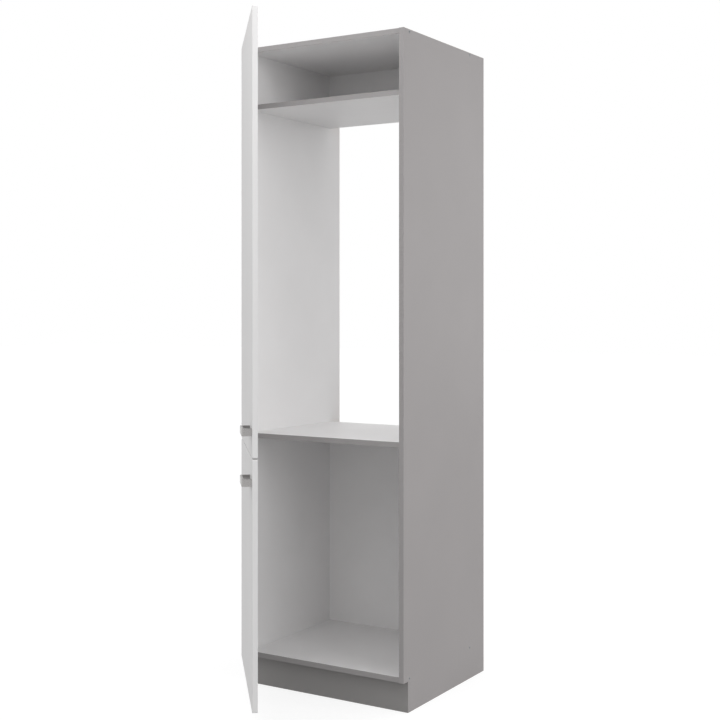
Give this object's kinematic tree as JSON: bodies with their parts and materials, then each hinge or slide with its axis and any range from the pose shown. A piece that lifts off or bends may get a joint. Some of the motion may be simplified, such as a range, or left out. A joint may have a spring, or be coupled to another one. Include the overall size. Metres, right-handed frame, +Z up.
{
  "type": "tall fridge housing cabinet",
  "caption": "Tall kitchen cabinet for a built-in fridge, with shelves above and below an open niche and hinged overlay doors on concealed cup hinges",
  "frame": {"origin": "on the floor, in the middle of the plinth board's foot", "axes": "+Z up, +X to the right as seen from the front, +Y towards the wall; the doors hang on the left side"},
  "size_m": [0.6, 1.048, 2.1],
  "materials": {
    "grey_board": "satin melamine",
    "white_board": "satin melamine",
    "plinth_grey_board": "satin melamine",
    "white_hardboard": "painted",
    "grey_edge_band": "satin",
    "white_gloss_front": "high gloss lacquer",
    "satin_nickel": "satin",
    "nickel_plated_steel": "polished",
    "zinc_plated_steel": "plated",
    "die_cast_zinc": "as cast",
    "beech": "unfinished"
  },
  "bodies": {
    "carcass": {"side_panel_left": "grey_board", "side_panel_right": "grey_board", "edge_band_left": "grey_edge_band", "edge_band_right": "grey_edge_band", "bottom_panel": "white_board", "middle_shelf": "white_board", "upper_shelf": "white_board", "top_panel": "white_board", "shelf_edge_bands": "grey_edge_band", "plinth_board": "plinth_grey_board", "plinth_brackets": "zinc_plated_steel", "plinth_bracket_screws": "zinc_plated_steel", "plinth_dowels": "beech", "lower_back_panel": "white_hardboard", "upper_back_panel": "white_hardboard", "back_nails": "zinc_plated_steel", "side_screws_left": "zinc_plated_steel", "side_screws_right": "zinc_plated_steel", "shelf_cams": "die_cast_zinc", "shelf_cam_bolts": "zinc_plated_steel", "shelf_dowels": "beech", "upper_hinge_arms": "nickel_plated_steel", "upper_hinge_arm_pins": "zinc_plated_steel", "upper_hinge_arm_screws": "zinc_plated_steel", "upper_hinge_plates": "die_cast_zinc", "upper_hinge_plate_screws": "zinc_plated_steel", "lower_hinge_arms": "nickel_plated_steel", "lower_hinge_arm_pins": "zinc_plated_steel", "lower_hinge_arm_screws": "zinc_plated_steel", "lower_hinge_plates": "die_cast_zinc", "lower_hinge_plate_screws": "zinc_plated_steel"},
    "upper_side_link_set": {"upper_hinge_side_links": "nickel_plated_steel"},
    "upper_centre_link_set": {"upper_hinge_centre_links": "nickel_plated_steel"},
    "upper_door_leaf": {"upper_door": "white_gloss_front", "upper_handle": "satin_nickel", "upper_handle_screws": "zinc_plated_steel", "upper_hinge_cups": "nickel_plated_steel", "upper_hinge_cup_pins": "zinc_plated_steel", "upper_hinge_cup_screws": "zinc_plated_steel"},
    "lower_side_link_set": {"lower_hinge_side_links": "nickel_plated_steel"},
    "lower_centre_link_set": {"lower_hinge_centre_links": "nickel_plated_steel"},
    "lower_door_leaf": {"lower_door": "white_gloss_front", "lower_handle": "satin_nickel", "lower_handle_screws": "zinc_plated_steel", "lower_hinge_cups": "nickel_plated_steel", "lower_hinge_cup_pins": "zinc_plated_steel", "lower_hinge_cup_screws": "zinc_plated_steel"}
  },
  "joints": [
    {"name": "upper_side_link_pivot", "type": "hinge", "parent": "carcass", "child": "upper_side_link_set", "pos_m": [-0.2561, -0.0319, 1.45725], "axis": [0, 0, 1], "range_deg": [-25.2, 19.8]},
    {"name": "upper_door_hinge", "type": "hinge", "parent": "upper_side_link_set", "child": "upper_door_leaf", "pos_m": [-0.28341, -0.05348, 1.45725], "axis": [0, 0, -1], "range_deg": [-75.6, 59.4]},
    {"name": "upper_centre_link_pivot", "type": "hinge", "parent": "carcass", "child": "upper_centre_link_set", "pos_m": [-0.2646, -0.0429, 1.45725], "axis": [0, 0, 1], "range_deg": [-36.29, 28.51]},
    {"name": "lower_side_link_pivot", "type": "hinge", "parent": "carcass", "child": "lower_side_link_set", "pos_m": [-0.2561, -0.0319, 0.457], "axis": [0, 0, 1], "range_deg": [-25.2, 19.8]},
    {"name": "lower_door_hinge", "type": "hinge", "parent": "lower_side_link_set", "child": "lower_door_leaf", "pos_m": [-0.28341, -0.05348, 0.457], "axis": [0, 0, -1], "range_deg": [-75.6, 59.4]},
    {"name": "lower_centre_link_pivot", "type": "hinge", "parent": "carcass", "child": "lower_centre_link_set", "pos_m": [-0.2646, -0.0429, 0.457], "axis": [0, 0, 1], "range_deg": [-36.29, 28.51]}
  ],
  "couplings": [
    {"joint": "upper_side_link_pivot", "follows": "upper_door_hinge", "ratio": 0.33333},
    {"joint": "upper_centre_link_pivot", "follows": "upper_door_hinge", "ratio": 0.48},
    {"joint": "lower_side_link_pivot", "follows": "lower_door_hinge", "ratio": 0.33333},
    {"joint": "lower_centre_link_pivot", "follows": "lower_door_hinge", "ratio": 0.48}
  ]
}
